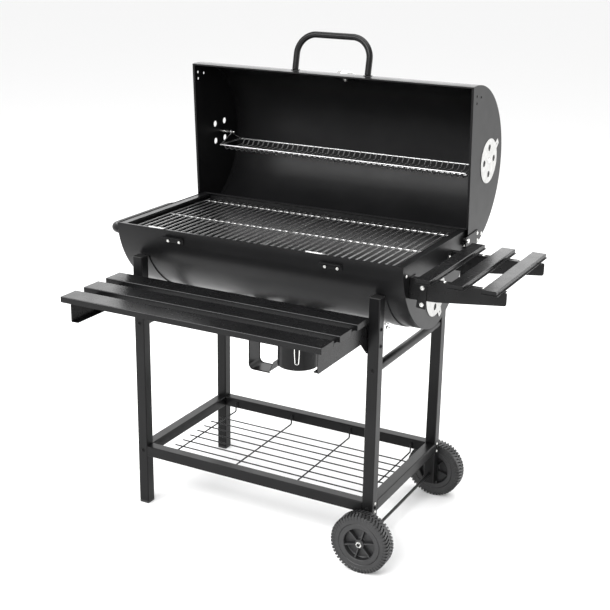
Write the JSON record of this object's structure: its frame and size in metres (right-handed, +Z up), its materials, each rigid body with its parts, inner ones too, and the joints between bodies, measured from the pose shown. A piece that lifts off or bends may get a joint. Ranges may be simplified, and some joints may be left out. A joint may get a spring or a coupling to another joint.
{
  "type": "charcoal barrel grill",
  "caption": "Charcoal barrel grill on a wheeled trolley, with a hinged half-round lid, hanging warming rack, slatted shelves, wire storage shelf and ash bucket.",
  "frame": {"origin": "on the floor, under the middle of the object's box with the lid open", "axes": "+Z up, +X along the barrel towards the wheels and the side table, -Y towards the cook and the front shelf"},
  "size_m": [1.1132, 0.8732, 1.2493],
  "materials": {
    "black_steel": "satin black heat-resistant powder coat",
    "zinc_steel": "plain zinc-plated steel",
    "chrome_wire": "bright chrome-plated wire",
    "grey_plastic": "dark moulded plastic"
  },
  "bodies": {
    "frame": {"leg_front_left": "black_steel", "leg_rear_left": "black_steel", "leg_front_right": "black_steel", "leg_rear_right": "black_steel", "foot_cap_front": "grey_plastic", "foot_cap_rear": "grey_plastic", "shelf_rail_front": "black_steel", "shelf_rail_rear": "black_steel", "shelf_rail_left": "black_steel", "shelf_rail_right": "black_steel", "side_rail_left": "black_steel", "side_rail_right": "black_steel", "wire_shelf": "black_steel", "cradle_left": "black_steel", "cradle_right": "black_steel", "axle": "black_steel", "axle_nut_front": "zinc_steel", "axle_nut_rear": "zinc_steel", "front_shelf_slat_1": "black_steel", "front_shelf_slat_2": "black_steel", "front_shelf_slat_3": "black_steel", "front_shelf_bracket_left": "black_steel", "front_shelf_bracket_right": "black_steel", "side_table_slat_1": "black_steel", "side_table_slat_2": "black_steel", "side_table_slat_3": "black_steel", "side_table_bracket_front": "black_steel", "side_table_bracket_rear": "black_steel", "bowl_shell": "black_steel", "bowl_end_left": "black_steel", "bowl_end_right": "black_steel", "lid_rest_left": "black_steel", "lid_rest_right": "black_steel", "carry_handle": "black_steel", "charcoal_grate": "zinc_steel", "ash_collar": "black_steel", "hinge_pin_left": "zinc_steel", "hinge_pin_right": "zinc_steel"},
    "lid": {"lid_shell": "black_steel", "lid_end_left": "black_steel", "lid_end_right": "black_steel", "hinge_strap_left": "black_steel", "hinge_strap_right": "black_steel", "lid_handle": "black_steel", "thermometer_case": "zinc_steel", "vent_pin_left": "zinc_steel", "vent_pin_right": "zinc_steel"},
    "rack": {"warming_rack": "chrome_wire"},
    "vent_left": {"lid_vent_left": "zinc_steel"},
    "vent_right": {"lid_vent_right": "zinc_steel"},
    "vent_bowl": {"bowl_vent": "zinc_steel"},
    "needle": {"thermometer_needle": "black_steel"},
    "wheel_a": {"wheel_front": "grey_plastic"},
    "wheel_b": {"wheel_rear": "grey_plastic"},
    "bucket": {"ash_bucket": "black_steel", "ash_bucket_handle": "black_steel"},
    "clip_front": {"bucket_clip_front": "zinc_steel"},
    "clip_rear": {"bucket_clip_rear": "zinc_steel"},
    "grate_left": {"cooking_grate_left": "chrome_wire"},
    "grate_right": {"cooking_grate_right": "chrome_wire"}
  },
  "joints": [
    {"name": "lid_hinge", "type": "hinge", "parent": "frame", "child": "lid", "pos_m": [-0.07936, 0.20941, 0.757], "axis": [1, 0, 0], "range_deg": [0, 87]},
    {"name": "rack_swing", "type": "hinge", "parent": "lid", "child": "rack", "pos_m": [-0.07936, 0.33796, 0.94098], "axis": [1, 0, 0], "range_deg": [-87, 0]},
    {"name": "lid_vent_left_turn", "type": "hinge", "parent": "lid", "child": "vent_left", "pos_m": [-0.48876, 0.33796, 0.94098], "axis": [1, 0, 0], "range_deg": [-45, 0]},
    {"name": "lid_vent_right_turn", "type": "hinge", "parent": "lid", "child": "vent_right", "pos_m": [0.33004, 0.33796, 0.94098], "axis": [1, 0, 0], "range_deg": [0, 45]},
    {"name": "bowl_vent_turn", "type": "hinge", "parent": "frame", "child": "vent_bowl", "pos_m": [0.32154, 0.03241, 0.664], "axis": [1, 0, 0], "range_deg": [0, 45]},
    {"name": "thermometer_needle_turn", "type": "hinge", "parent": "lid", "child": "needle", "pos_m": [-0.07936, 0.32535, 1.13371], "axis": [0, -0.454, -0.891], "range_deg": [0, 270]},
    {"name": "wheel_front_spin", "type": "hinge", "parent": "frame", "child": "wheel_a", "pos_m": [0.25564, -0.20659, 0.0775], "axis": [0, 1, 0], "continuous": true},
    {"name": "wheel_rear_spin", "type": "hinge", "parent": "frame", "child": "wheel_b", "pos_m": [0.25564, 0.27141, 0.0775], "axis": [0, 1, 0], "continuous": true},
    {"name": "ash_bucket_drop", "type": "slide", "parent": "frame", "child": "bucket", "axis": [0, 0, -1], "range_m": [0, 0.09]},
    {"name": "bucket_clip_front_swing", "type": "hinge", "parent": "frame", "child": "clip_front", "pos_m": [-0.03036, -0.02579, 0.568], "axis": [-1, 0, 0], "range_deg": [0, 100]},
    {"name": "cooking_grate_left_lift", "type": "slide", "parent": "frame", "child": "grate_left", "axis": [0, 0, -1], "range_m": [-0.12, 0]},
    {"name": "cooking_grate_right_lift", "type": "slide", "parent": "frame", "child": "grate_right", "axis": [0, 0, -1], "range_m": [-0.12, 0]},
    {"name": "bucket_clip_rear_swing", "type": "hinge", "parent": "frame", "child": "clip_rear", "pos_m": [-0.03036, 0.09061, 0.568], "axis": [1, 0, 0], "range_deg": [0, 100]}
  ],
  "couplings": [
    {"joint": "rack_swing", "follows": "lid_hinge", "ratio": -1}
  ]
}
